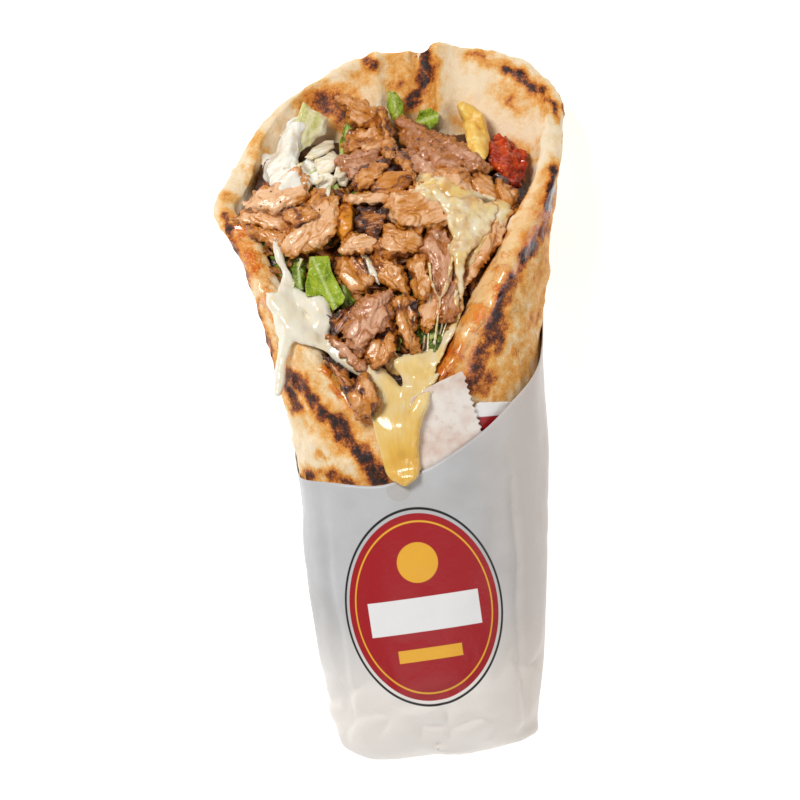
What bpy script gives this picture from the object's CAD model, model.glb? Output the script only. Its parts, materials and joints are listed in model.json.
# %% [markdown]
# # A cheese naan sandwich in its paper sleeve
#
# A naan is rolled into a cone, filled with chicken, cheese, lettuce and onion, and pushed into a
# greaseproof paper sleeve. It lies on its back, so its mouth faces the camera above it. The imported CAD
# part gives the frame: every piece made here stands for a CAD node and sits where that node is, in
# metres.

# %% Start and load the frame
import json
import math

import bmesh
import bpy
import numpy as np
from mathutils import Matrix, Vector, noise
from mathutils.bvhtree import BVHTree

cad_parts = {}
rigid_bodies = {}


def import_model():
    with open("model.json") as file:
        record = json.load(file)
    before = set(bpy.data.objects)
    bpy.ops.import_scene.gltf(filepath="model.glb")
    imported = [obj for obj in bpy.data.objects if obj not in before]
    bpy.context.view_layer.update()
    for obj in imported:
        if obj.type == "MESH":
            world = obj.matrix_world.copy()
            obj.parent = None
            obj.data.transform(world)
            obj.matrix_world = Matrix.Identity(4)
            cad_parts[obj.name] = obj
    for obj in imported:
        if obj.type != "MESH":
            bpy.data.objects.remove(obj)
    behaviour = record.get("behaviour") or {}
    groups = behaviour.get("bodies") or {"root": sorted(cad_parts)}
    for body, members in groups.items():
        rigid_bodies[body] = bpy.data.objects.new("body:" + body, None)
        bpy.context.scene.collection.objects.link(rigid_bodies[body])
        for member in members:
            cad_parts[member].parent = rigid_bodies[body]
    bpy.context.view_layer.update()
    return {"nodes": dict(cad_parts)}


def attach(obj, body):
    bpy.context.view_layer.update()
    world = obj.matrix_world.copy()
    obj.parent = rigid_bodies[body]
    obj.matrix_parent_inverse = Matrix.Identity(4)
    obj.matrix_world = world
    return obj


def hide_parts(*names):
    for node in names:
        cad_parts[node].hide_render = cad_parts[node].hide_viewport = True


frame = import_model()
MM = 0.001
print("CAD nodes:", len(frame["nodes"]))

# %% [markdown]
# ## Camera, floor and light
#
# The photograph looks straight down from about a metre, turned a few degrees. Its light is soft and comes
# from the upper left, and a weaker light fills the right side. Large area lamps give such soft shadows,
# and the pale floor bounces some light back up onto the sides of the wrap.

# %% Camera
CAMERA_HEIGHT = 1.0
CAMERA_OVER = (-4.53 * MM, 28.5 * MM)
CAMERA_TURN = math.radians(-5)
VIEW_WIDTH = 0.2893  # metres across the picture at the floor
SENSOR_MM = 36

camera_data = bpy.data.cameras.new("camera")
camera_data.sensor_width = SENSOR_MM
camera_data.lens = SENSOR_MM * CAMERA_HEIGHT / VIEW_WIDTH
camera = bpy.data.objects.new("camera", camera_data)
camera.location = (*CAMERA_OVER, CAMERA_HEIGHT)
camera.rotation_euler = (0, 0, CAMERA_TURN)
bpy.context.scene.collection.objects.link(camera)
bpy.context.scene.camera = camera
print("Camera lens in mm:", round(camera_data.lens, 1))

# %% Colours and nodes
def linear(code):
    """An sRGB hex colour as the linear colour that Blender's shaders want."""
    parts = [int(code[i:i + 2], 16) / 255 for i in (1, 3, 5)]
    return (*(p / 12.92 if p <= 0.04045 else ((p + 0.055) / 1.055) ** 2.4 for p in parts), 1)


def add(tree, kind, feeds=None, **settings):
    """Adds a node with its settings. Each feed is a value, a colour's hex code or another node's output."""
    made = tree.nodes.new(kind)
    for name, value in settings.items():
        setattr(made, name, value)
    for name, value in (feeds or {}).items():
        if isinstance(value, bpy.types.NodeSocket):
            tree.links.new(value, made.inputs[name])
        else:
            coloured = isinstance(value, str) and value.startswith("#")
            made.inputs[name].default_value = linear(value) if coloured else value
    return made


def new_material(name, roughness, **more):
    """A Principled material with more inputs set, its tree, its shader and the piece's own coordinates."""
    material = bpy.data.materials.new(name)
    material.use_nodes = True
    tree = material.node_tree
    shader = tree.nodes["Principled BSDF"]
    shader.inputs["Roughness"].default_value = roughness
    for socket, value in more.items():
        shader.inputs[socket.replace("_", " ")].default_value = value
    place = add(tree, "ShaderNodeTexCoord").outputs["Object"]
    return material, tree, shader, place


def light_inside(weight, radius_mm, scale):
    """Inputs that let light get into a food: this far in mm for its red, green and blue."""
    return {"Subsurface_Weight": weight, "Subsurface_Radius": [r * MM for r in radius_mm],
            "Subsurface_Scale": scale}


def wet_coat(weight, roughness=0.1):
    """Inputs for a clear, wet layer of fat or juice."""
    return {"Coat_Weight": weight, "Coat_Roughness": roughness}


def grain(tree, place, mm, detail=3, stretch=(1, 1, 1), rough=0.55):
    """Noise whose lumps are about this many mm across, stretched by a factor along each axis."""
    scale = [1 / (mm * MM * s) for s in stretch]
    mapped = add(tree, "ShaderNodeMapping", {"Vector": place, "Scale": scale}).outputs[0]
    return add(tree, "ShaderNodeTexNoise", {"Vector": mapped, "Scale": 1, "Detail": detail,
                                            "Roughness": rough}).outputs["Fac"]


def span(tree, value, low, high, to_low=0, to_high=1):
    """A value's range stretched to another range, clamped and smooth."""
    feeds = {"Value": value, "From Min": low, "From Max": high, "To Min": to_low, "To Max": to_high}
    return add(tree, "ShaderNodeMapRange", feeds, interpolation_type="SMOOTHSTEP").outputs[0]


def blend(tree, share, below, above, blend_type="MIX"):
    """One colour over another."""
    return add(tree, "ShaderNodeMix", {0: share, 6: below, 7: above}, data_type="RGBA",
               blend_type=blend_type).outputs[2]


def ramp(tree, value, *stops):
    """A colour that runs through stops, each of them a place from 0 to 1 and a hex code."""
    made = add(tree, "ShaderNodeValToRGB", {"Fac": value})
    elements = made.color_ramp.elements
    elements.remove(elements[1])
    for i, (at, code) in enumerate(stops):
        element = elements.new(at) if i else elements[0]
        element.position = at
        element.color = linear(code)
    return made.outputs[0]


def sums(tree, a, b, operation="ADD"):
    """Adds two values, or does another sum of the Math node with them."""
    return add(tree, "ShaderNodeMath", {0: a, 1: b}, operation=operation).outputs[0]


def swayed(tree, value, *noises):
    """A value moved up and down by noises, each of them given with its weight."""
    for noise_of, weight in noises:
        value = sums(tree, value, sums(tree, sums(tree, noise_of, 0.5, "SUBTRACT"), weight, "MULTIPLY"))
    return value


def painted(tree, name):
    """A value that was painted on the mesh's points."""
    return add(tree, "ShaderNodeAttribute", attribute_name=name).outputs["Fac"]


def fibre_place(tree):
    """The place along and across a piece's fibres, which was stored on its points."""
    return add(tree, "ShaderNodeAttribute", attribute_name="fibre_place").outputs["Vector"]


def relief(tree, shader, height, depth_mm, strength=1.0):
    """Bump of this depth, from a height between 0 and 1."""
    feeds = {"Height": height, "Distance": depth_mm * MM, "Strength": strength}
    tree.links.new(add(tree, "ShaderNodeBump", feeds).outputs[0], shader.inputs["Normal"])


print("Paper white, linear:", [round(c, 3) for c in linear("#e9e7e4")])

# %% Floor and lamps
LIT_POINT = (0, 0.03, 0.03)
FLOOR_HALF = 3.0
FLOOR_MOTTLE_MM = 40
FLOOR_GLOW = 0.5  # light of its own, which keeps the floor nearly white under the soft shadows
WORLD_LIGHT = 0.2


def lamp(name, place, watts, size, colour="#ffffff"):
    """A large square lamp that points at the middle of the wrap."""
    data = bpy.data.lights.new(name, "AREA")
    data.energy = watts
    data.size = size
    data.color = linear(colour)[:3]
    made = bpy.data.objects.new(name, data)
    made.location = place
    made.rotation_euler = (Vector(LIT_POINT) - Vector(place)).to_track_quat("-Z", "Y").to_euler()
    bpy.context.scene.collection.objects.link(made)


def make_floor():
    """A plain pale floor that the wrap lies on."""
    half = FLOOR_HALF
    mesh = bpy.data.meshes.new("floor")
    corners = [(-half, -half, 0), (half, -half, 0), (half, half, 0), (-half, half, 0)]
    mesh.from_pydata(corners, [], [(0, 1, 2, 3)])
    made = bpy.data.objects.new("floor", mesh)
    bpy.context.scene.collection.objects.link(made)
    material, tree, shader, place = new_material("matt_white_floor", 0.9)
    mottle = grain(tree, place, FLOOR_MOTTLE_MM)
    tree.links.new(blend(tree, mottle, "#fdfdfd", "#ffffff"), shader.inputs["Base Color"])
    shader.inputs["Emission Color"].default_value = linear("#ffffff")
    shader.inputs["Emission Strength"].default_value = FLOOR_GLOW
    mesh.materials.append(material)


make_floor()
lamp("key", (-0.5, 0.55, 0.95), 9.4, 0.36)
lamp("fill", (0.9, -0.1, 0.8), 3.4, 0.9)
lamp("front", (-0.1, -0.9, 0.7), 2.6, 0.8)
world = bpy.data.worlds.new("studio")
world.use_nodes = True
sky = world.node_tree.nodes["Background"]
sky.inputs["Color"].default_value = linear("#ffffff")
sky.inputs["Strength"].default_value = WORLD_LIGHT
bpy.context.scene.world = world
# The plain transform shows each colour as it was worked out, without the film curve that greys bright ones.
bpy.context.scene.view_settings.view_transform = "Standard"
print("Lamps:", len(bpy.data.lights))

# %% [markdown]
# ## The wrap's section
#
# The CAD bread and sleeve follow a section that changes along Y: its half width, half depth, middle and
# the height of its underside are smooth curves through a few points. The same values are repeated here,
# so that the fine bread and paper fill just the space of their coarse CAD solids.

# %% Section of the wrap, in millimetres
TIP_Y = -93
FRONT_Y = 19
BACK_Y = 152
VEE_ANGLE = -8  # where round the section the mouth dips to its V
LEFT_SWEEP = 1.42  # the larger, the longer the rim stays low beside the V
RIGHT_SWEEP = 1.22
BREAD = 7  # how thick the bread is away from its rim
LIP_EXTRA = 3.2
BACK_RIM_THIN = 2.4
PAPER = 0.8  # thicker than real paper, so that the solid can be built
PAPER_ROOM = 3.2
PAPER_ROOM_BEHIND = 1
SLEEVE_TIP_Y = -99
FLAT = 1.5  # how much deeper the lower half would reach, if the table didn't flatten it
TIP_REACH = 24  # how long the narrowing of the closed end is
SLEEVE_TIP_REACH = 26
BOXY_ABOVE = 0.92  # below 1 the section is squarer than an ellipse
BOXY_BELOW = 0.8
HALF_WIDTH = [(-96, 32), (-60, 37), (0, 42), (50, 48.5), (80, 54.5), (105, 60), (125, 61.5), (155, 61.5)]
HALF_DEPTH = [(-96, 17), (-70, 22), (-30, 27.5), (10, 31), (60, 33.5), (100, 34), (155, 32)]
MIDDLE = [(-96, -2), (0, 0.3), (60, -0.8), (100, -1), (120, 1.5), (135, 4), (155, 6)]
UNDERSIDE = [(-96, 1.4), (64, 1.4), (84, 0.6), (115, 0.6), (155, 7)]
SLEEVE_EDGE = [(-180, 64), (-142, 62), (-122, 40), (-104, 14), (-90, 7), (-76, 5.5), (-40, 2.5), (-16, 0.3),
               (0, 3.9), (9, 7.4), (27, 16), (43, 25.3), (67, 38), (84, 47), (108, 62), (180, 64)]


def track(points, at):
    """A smooth curve through a few points, read at every number of an array."""
    x, y = np.array(points, float).T
    before = np.maximum(np.arange(len(x)) - 1, 0)
    after = np.minimum(np.arange(len(x)) + 1, len(x) - 1)
    slope = (y[after] - y[before]) / (x[after] - x[before])
    i = np.clip(np.searchsorted(x, at) - 1, 0, len(x) - 2)
    h = x[i + 1] - x[i]
    u = np.clip((at - x[i]) / h, 0, 1)
    start = (2 * u**3 - 3 * u**2 + 1) * y[i] + (u**3 - 2 * u**2 + u) * slope[i] * h
    return start + (3 * u**2 - 2 * u**3) * y[i + 1] + (u**3 - u**2) * slope[i + 1] * h


def smooth(t, low, high):
    """A soft step from 0 at low to 1 at high."""
    u = np.clip((t - low) / (high - low), 0, 1)
    return u * u * (3 - 2 * u)


def bump(t, width):
    """A soft hill, 1 where t is 0, of about this width to each side."""
    return np.exp(-((t / width) ** 2))


def turned(angle):
    """An angle in degrees, brought to between -180 and 180."""
    return (angle + 180) % 360 - 180


def section_point(angle, y, out=0):
    """Where the section is at an angle from its top, this far outside the bread's face."""
    a = track(HALF_WIDTH, y) + out
    b = track(HALF_DEPTH, y) + out
    under = track(UNDERSIDE, y)
    s, c = np.sin(np.radians(angle)), np.cos(np.radians(angle))
    boxy = np.where(c > 0, BOXY_ABOVE, BOXY_BELOW)
    x = track(MIDDLE, y) + a * np.sign(s) * np.abs(s) ** boxy
    middle = under + track(HALF_DEPTH, y)
    z = middle + np.where(c > 0, b, b + FLAT) * np.sign(c) * np.abs(c) ** boxy
    return x, np.maximum(z, under - out)


def rim_y(angle):
    """How far up the wrap its rim reaches, round the section."""
    away = turned(angle - VEE_ANGLE)
    sweep = np.where(away > 0, RIGHT_SWEEP, LEFT_SWEEP)
    return FRONT_Y + (BACK_Y - FRONT_Y) * np.abs(np.sin(np.radians(away / 2))) ** sweep


def tip_share(from_tip, reach):
    """How the wrap narrows into its closed end: nearly square in width, and round in depth."""
    u = np.clip(from_tip / reach, 0, 1)
    return (1 - (1 - u) ** 9) ** (1 / 3), np.sqrt(1 - (1 - u) ** 2)


print("Mouth from", FRONT_Y, "to", BACK_Y, "mm")
print("Top of the section at its front:", section_point(np.array([0.0]), FRONT_Y))

# %% Noise and closed skins
SEED_STEP = 17.3  # moves the noise to another place for each seed


def fractal(points, mm, octaves=3, seed=0):
    """Noise from about -1 to 1 at each point, with lumps about this many mm across."""
    shifted = points / mm + seed * SEED_STEP
    return np.array([noise.fractal(Vector(p), 1.0, 2.0, octaves, noise_basis="PERLIN_NEW") for p in shifted])


def closed_skin(name, points, first, last):
    """A closed skin over a grid of points in mm. Columns go round, and rows run between the two poles."""
    rows, columns, _ = points.shape
    vertices = np.vstack([points.reshape(-1, 3), [first, last]]) * MM
    c = np.arange(columns)
    nxt = (c + 1) % columns
    faces = []
    for r in range(rows - 1):
        here, above = r * columns, (r + 1) * columns
        faces += np.stack([here + c, here + nxt, above + nxt, above + c], 1).tolist()
    start, end = rows * columns, rows * columns + 1
    faces += [(start, int(b), int(a)) for a, b in zip(c, nxt)]
    top = (rows - 1) * columns
    faces += [(top + int(a), top + int(b), end) for a, b in zip(c, nxt)]
    mesh = bpy.data.meshes.new(name)
    mesh.from_pydata(vertices.tolist(), [], faces)
    made = bpy.data.objects.new(name, mesh)
    bpy.context.scene.collection.objects.link(made)
    return made


print("Noise at the origin, seed 1:", fractal(np.zeros((1, 3)), 10, seed=1))

# %% Points, paint and hand-over of a piece
def vectors_of(mesh, kind):
    """The place ("co") or the normal ("normal") of each point of a mesh."""
    flat = np.zeros(len(mesh.vertices) * 3)
    mesh.vertices.foreach_get(kind, flat)
    return flat.reshape(-1, 3)


def points_of(piece):
    """The places of a piece's points, in mm."""
    return vectors_of(piece.data, "co") / MM


def normals_of(piece):
    """The directions that a piece's points face."""
    return vectors_of(piece.data, "normal")


def move_points(piece, points):
    """Puts the points of a piece at new places, given in mm."""
    piece.data.vertices.foreach_set("co", (points * MM).ravel())
    piece.data.update()


def push(piece, depth):
    """Moves each point of a piece along its normal, by a depth in mm."""
    move_points(piece, points_of(piece) + normals_of(piece) * np.asarray(depth)[:, None])


def paint_mesh(mesh, name, values):
    """Writes a value from 0 to 1 on each point of a mesh, for a material or a tree to read."""
    layer = mesh.attributes.new(name, "FLOAT", "POINT")
    layer.data.foreach_set("value", np.clip(values, 0, 1).astype(np.float32))


def paint(piece, name, values):
    """Paints a piece's own mesh."""
    paint_mesh(piece.data, name, values)


def paint_place(piece, place):
    """Stores each point's place along and across the piece's fibres, given in mm."""
    layer = piece.data.attributes.new("fibre_place", "FLOAT_VECTOR", "POINT")
    layer.data.foreach_set("vector", (place * MM).astype(np.float32).ravel())


def max_of(values):
    """The largest of several arrays at each place."""
    return np.max(list(values), axis=0)


def finish(piece, material, slot, *nodes):
    """Gives a piece its material and smooth faces, and says which CAD nodes it stands for."""
    piece.data.materials.clear()
    piece.data.materials.append(material)
    piece.data.polygons.foreach_set("material_index", [0] * len(piece.data.polygons))
    piece.data.shade_smooth()
    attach(piece, "root")
    if nodes:
        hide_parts(*nodes)
    piece.data.calc_loop_triangles()
    print(f"{piece.name}: {len(piece.data.loop_triangles)} triangles")
    return piece


FULL_TO = 0.3  # a stroke is full out to this share of its half width
GONE_BY = 1.5  # and has faded away by this one


def near_stroke(x, y, stroke, spread):
    """How close each place is to a brush stroke, from 1 on it to 0 outside it."""
    half, strength, *path = stroke
    half = half * spread
    path = path if len(path) > 1 else path * 2
    nearest = np.full(x.shape, 1e9)
    for (x0, y0), (x1, y1) in zip(path, path[1:]):
        dx, dy = x1 - x0, y1 - y0
        along = np.clip(((x - x0) * dx + (y - y0) * dy) / max(dx * dx + dy * dy, 1e-9), 0, 1)
        nearest = np.minimum(nearest, np.hypot(x - x0 - along * dx, y - y0 - along * dy))
    return strength * (1 - smooth(nearest, half * FULL_TO, half * GONE_BY))


def brushed(x, y, strokes, spread=1.0):
    """The strongest of several brush strokes at each place, each spread this many times its own width."""
    return max_of(near_stroke(x, y, stroke, spread) for stroke in strokes)


print("Middle of a stroke:", near_stroke(np.zeros(1), np.zeros(1), (2, 1, (0, 0)), 1))

# %% [markdown]
# ## Naan
#
# Naan is a leavened flatbread slapped onto the wall of a clay oven: pale and floury where it puffed free,
# golden where it touched, and charred in stripes and blisters. The bread is one closed skin over a grid,
# from the closed end up its outer face, over the rolled lip and down its inner face. Lumps and blisters
# move the grid's points inwards, so it stays in its CAD solid. The char is painted on the points with
# brush strokes, because each mark has its own place, and the material breaks their edges up with fine
# noise.

# %% Folds and thickness of the bread
COLUMNS = 380
WALL_ROWS = 96
LIP_ROWS = 14
ROWS_CROWD = 1.2  # above 1, the rows are closer together near the lip
CORNER_MM, CORNER_ANGLE, CORNER_Y = 5, -96, 101  # the pointed left corner of the mouth
# Creases of the back wall: how high in mm, at which X, and how wide.
BACK_CREASES = [(3, 21, 4.2), (-2.2, 14, 3.6), (2.6, -4, 3.4), (-2, -27, 6)]
ROLL_WIDE = 16  # how far down from the rim the rolled lip reaches
RIGHT_ROLL_MM = 3.6  # how much fatter the right lip is near the V
RIGHT_ROLL_ANGLE, RIGHT_ROLL_SPREAD = 26, 22
TIP_HEIGHT = 0.62  # where the closed end sits, as a share of half the depth


def folds(angle, y):
    """How far folds and bubbles lift the outer face, and the inner face."""
    x, _ = section_point(angle, y)
    back = smooth(np.abs(angle), 110, 150) * smooth(y, 96, 128)
    corner = CORNER_MM * bump(turned(angle - CORNER_ANGLE), 13) * bump(y - CORNER_Y, 11)
    waves = 0.5 * np.sin(angle * 0.11 + y * 0.06) + 0.4 * np.sin(angle * 0.05 - y * 0.13)
    ridges = sum(high * bump(x - at, wide) for high, at, wide in BACK_CREASES)
    above = 1 - smooth(np.abs(angle), 95, 135)
    return corner + waves * above * smooth(y, 30, 70), -back * ridges


def bread_at(angle, y):
    """The bread's thickness, rolled fat along the lips and thin on the far rim."""
    front = 1 - smooth(np.abs(turned(angle - VEE_ANGLE)), 95, 130)
    right = RIGHT_ROLL_MM * bump(turned(angle - RIGHT_ROLL_ANGLE), RIGHT_ROLL_SPREAD)
    rolled = front * LIP_EXTRA - (1 - front) * BACK_RIM_THIN + right
    return BREAD + rolled * bump(rim_y(angle) - y, ROLL_WIDE)


def wall_point(angle, y, out, tip_y, reach):
    """A point of the section, this far outside the bread's face, narrowed towards the closed end."""
    x, z = section_point(angle, y, out)
    wide, deep = tip_share(y - tip_y, reach)
    middle_x = track(MIDDLE, y)
    middle_z = track(UNDERSIDE, y) + track(HALF_DEPTH, y) * TIP_HEIGHT
    return np.stack([middle_x + (x - middle_x) * wide, y, middle_z + (z - middle_z) * deep], -1)


print("Bread on the right lip, in mm:", bread_at(np.array([float(RIGHT_ROLL_ANGLE)]), 40))

# %% Bread grid
SOFT_LUMP_MM, BLISTER_MM, PORE_MM = 17, 7, 2.2  # how wide the dents, the blisters and the pores are
SOFT_DEEP, BLISTER_DEEP, PORE_DEEP = 1.0, 1.3, 0.2
CALM_ROWS, CALM_SHARE = 30, 0.4  # past the lip, the lumps shrink to this share over these rows
POLE_Z = 14  # the height of the point that closes the skin at its end


def bread_point(angle, y, inside):
    """A point of the bread's outer face, or of its inner face."""
    outer, inner = folds(angle, y)
    if not inside:
        return wall_point(angle, y, outer, TIP_Y, TIP_REACH)
    return wall_point(angle, y, outer - bread_at(angle, y) + inner, TIP_Y + BREAD, TIP_REACH)


def bread_grid():
    """Rows of points up the outer face, over the lip and down the inner face."""
    angle = turned(VEE_ANGLE + np.arange(COLUMNS) * 360 / COLUMNS)
    top = rim_y(angle)
    share = 1 - (1 - np.arange(1, WALL_ROWS + 1) / WALL_ROWS) ** ROWS_CROWD
    up = np.repeat(share[:, None], COLUMNS, 1)
    round_section = np.broadcast_to(angle, up.shape)
    outer = bread_point(round_section, TIP_Y + (top - TIP_Y) * up, False)
    inner = bread_point(round_section, TIP_Y + BREAD + (top - TIP_Y - BREAD) * up, True)
    turn = np.arange(1, LIP_ROWS + 1)[:, None, None] / (LIP_ROWS + 1) * np.pi
    half = np.linalg.norm(outer[-1] - inner[-1], axis=1)[None, :, None] / 2
    lip = outer[-1] + (inner[-1] - outer[-1]) * (1 - np.cos(turn)) / 2
    lip = lip + half * np.sin(turn) * np.array([0, 1, 0])
    return np.concatenate([outer, lip, inner[::-1]])


def lumps(points, rounds):
    """Depths of the bread's soft lumps, blisters and pores, all inwards, in mm."""
    soft = 0.5 + 0.5 * fractal(points, SOFT_LUMP_MM, 2)
    blister = np.maximum(fractal(points, BLISTER_MM, 2, 3), 0) ** 0.7
    pores = 0.5 + 0.5 * fractal(points, PORE_MM, 2, 5)
    mouth = smooth(points[:, 1], -10, 20)
    return mouth * (SOFT_DEEP * soft + BLISTER_DEEP * (0.5 - blister) + PORE_DEEP * pores) * rounds


def evened_rows(vectors, reach=3):
    """Directions evened out over a few rows, so that rows close together don't cross when they are moved."""
    edged = np.pad(vectors, ((reach, reach), (0, 0), (0, 0)), mode="edge")
    total = sum(edged[i:i + len(vectors)] for i in range(2 * reach + 1))
    return total / np.linalg.norm(total, axis=2, keepdims=True)


def make_bread():
    """The bread as one closed skin, with its lumps and blisters."""
    grid = bread_grid()
    pole = np.array([float(track(MIDDLE, TIP_Y)), TIP_Y, POLE_Z])
    piece = closed_skin("naan_bread", grid, pole, pole + [0, BREAD, 0])
    points = points_of(piece)
    normals = normals_of(piece)
    normals[:-2] = evened_rows(normals[:-2].reshape(grid.shape)).reshape(-1, 3)
    row = np.arange(len(points)) // COLUMNS
    inner = WALL_ROWS + LIP_ROWS
    calmer = np.interp(row, [inner, inner + CALM_ROWS], [1, CALM_SHARE])
    move_points(piece, points - normals * lumps(points, calmer)[:, None])
    return piece


naan = make_bread()
print("Bread points:", len(naan.data.vertices))

# %% Where the oven and the griddle marked the bread
# Each stroke is its half width in mm, its strength, and the places that it runs through, seen from above.
CHAR_ABOVE = [
    (2.2, .9, (-42, 41), (-38, 37), (-34, 31), (-29, 24)),
    (3.1, 1, (-26, 22), (-24, 16), (-18, 10), (-13, 2)),
    (1.7, .9, (-44, 38), (-42, 34), (-40, 29)),
    (1.7, .9, (-60, 98), (-58, 89), (-56, 81), (-54, 73)),
    (1.4, .9, (-51, 66), (-50, 58), (-48, 43)),
    (2.0, .8, (-30, 5), (-24, 2)),
    (1.4, 1, (-39, 6), (-38, 5)),
    (1.0, .6, (-35, 7), (-34, 7)),
    (1.0, .4, (-34, 12), (-30, 11)),
    (1.7, 1, (56, 104), (54, 98), (52, 91)),
    (1.7, .9, (50, 82), (44, 75), (41, 72)),
    (1.5, .6, (53, 92), (50, 82), (41, 71), (33, 57), (28, 46)),
    (1.7, 1, (37, 66), (33, 61), (31, 55), (28, 51)),
    (3.1, .8, (31, 49), (26, 45), (23, 38), (20, 31)),
    (2.0, .8, (33, 50), (30, 43)),
    (2.0, .6, (27, 34), (24, 28)),
    (1.0, .5, (36, 42), (37, 41)),
    (1.4, .5, (40, 67)),
    (1.4, .5, (45, 65)),
    (1.0, .4, (46, 55), (42, 49)),
]
CHAR_BEHIND = [
    (2.0, 1, (15, 155), (15, 149), (15, 143), (12, 138), (9, 134)),
    (1.7, .8, (-6, 150), (-4, 148)),
    (1.4, .6, (2, 141), (5, 142)),
    (1.7, 1, (43, 143), (48, 140), (51, 136), (55, 133)),
    (1.0, .7, (57, 130), (59, 125), (60, 120)),
    (1.7, .45, (31, 149), (36, 149)),
    (1.7, .6, (44, 131)),
    (3.7, .8, (-24, 137), (-18, 135), (-15, 131)),
]
BROWN_ABOVE = [
    (2.6, .4, (55, 101), (49, 88), (45, 80), (35, 69), (27, 57), (23, 50)),
    (3.4, .85, (16, 45), (14, 40)),
    (2.7, .85, (12, 37), (11, 34)),
    (4.4, .6, (55, 93), (51, 79), (42, 66), (32, 53)),
    (4.5, .6, (52, 74), (47, 58), (40, 42), (31, 29)),
    (3.1, .65, (-61, 102), (-55, 91), (-49, 77)),
    (3.1, .45, (-52, 95), (-46, 80)),
    (2.0, .7, (-29, 42), (-23, 30), (-14, 21)),
    (5.1, .6, (-24, 22), (-18, 13), (-10, 2)),
    (2.0, .6, (-42, 5), (-26, 2)),
    (3.4, .35, (-37, 48), (-29, 36)),
    (3.7, .5, (-49, 67), (-45, 42)),
    (3.1, .4, (-42, 32), (-29, 17)),
]
BROWN_BEHIND = [
    (3.1, .55, (-48, 126), (-46, 119)),
    (2.7, .55, (-50, 114), (-48, 108)),
    (2.0, .7, (-60, 105), (-56, 104)),
    (3.1, .8, (-31, 137), (-22, 141), (-13, 140)),
    (3.4, .35, (-11, 145), (-7, 145)),
    (4.8, .7, (6, 150), (10, 140), (8, 133)),
    (2.0, .8, (19, 148), (17, 140), (16, 129)),
    (3.1, .7, (35, 149), (46, 141), (54, 133), (59, 123)),
    (4.1, .4, (41, 136), (47, 128)),
    (1.7, .5, (23, 127), (27, 123)),
    (2.4, .45, (54, 114), (48, 108)),
    (2.0, .6, (43, 117), (48, 112)),
]
GREASE = [
    (6, 1, (50, 98), (44, 83), (32, 69), (24, 58), (18, 48), (13, 36)),
    (4, .6, (-55, 91), (-49, 77), (-44, 62)),
    (2.5, .6, (-29, 42), (-23, 30), (-14, 21)),
]
RAGGED_MM, RAGGED_GRAIN_MM = 1.6, 4.5  # how far noise moves a stroke's edge, and how wide its wobbles are
HALO_SPREAD, BROWN_SPREAD = 2.3, 1.3  # the golden halo of a char mark, and browning, spread this much
UPPER_FROM_Z, UPPER_FULL_Z = 24, 34  # the strokes seen from above lie on the bread above this height


def paint_bread(piece):
    """Paints how hot each point got in the oven, and how much grease has wetted it."""
    points = points_of(piece)
    x = points[:, 0] + RAGGED_MM * fractal(points, RAGGED_GRAIN_MM, 3, 21)
    y = points[:, 1] + RAGGED_MM * fractal(points, RAGGED_GRAIN_MM, 3, 22)
    row = np.arange(len(points)) // COLUMNS
    above = smooth(points[:, 2], UPPER_FROM_Z, UPPER_FULL_Z) * (row < WALL_ROWS + LIP_ROWS + 6)
    behind = (row > WALL_ROWS + 2) * (1 - above)
    under = (row <= WALL_ROWS + 2) * (1 - above)
    patches = smooth(fractal(points, 15, 3, 9), 0.12, 0.5)
    char = above * brushed(x, y, CHAR_ABOVE) + behind * brushed(x, y, CHAR_BEHIND)
    halo = above * brushed(x, y, CHAR_ABOVE, HALO_SPREAD) + behind * brushed(x, y, CHAR_BEHIND, HALO_SPREAD)
    browned = above * brushed(x, y, BROWN_ABOVE, BROWN_SPREAD)
    brown = browned + behind * brushed(x, y, BROWN_BEHIND, BROWN_SPREAD)
    char = char + 0.9 * under * patches * smooth(fractal(points, 6, 2, 4), -0.1, 0.4)
    brown = np.maximum(brown + 0.7 * under * patches, 0.75 * halo)
    paint(piece, "baking", 0.42 * brown + 0.5 * char)
    paint(piece, "grease", above * brushed(x, y, GREASE))


paint_bread(naan)
print("Char strokes:", len(CHAR_ABOVE) + len(CHAR_BEHIND))

# %% [markdown]
# ## What baked bread looks like
#
# The skin is matt and floury. Its colour runs from cream through gold and brown to black with the heat
# that was painted, and three sizes of noise break the edges of each mark: crumbs of 0.8 mm, pores of 3.5
# mm and clouds of 14 mm. Where fat has run over the lips the bread is darker, warmer and wet, which a
# clear coat gives.

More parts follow.
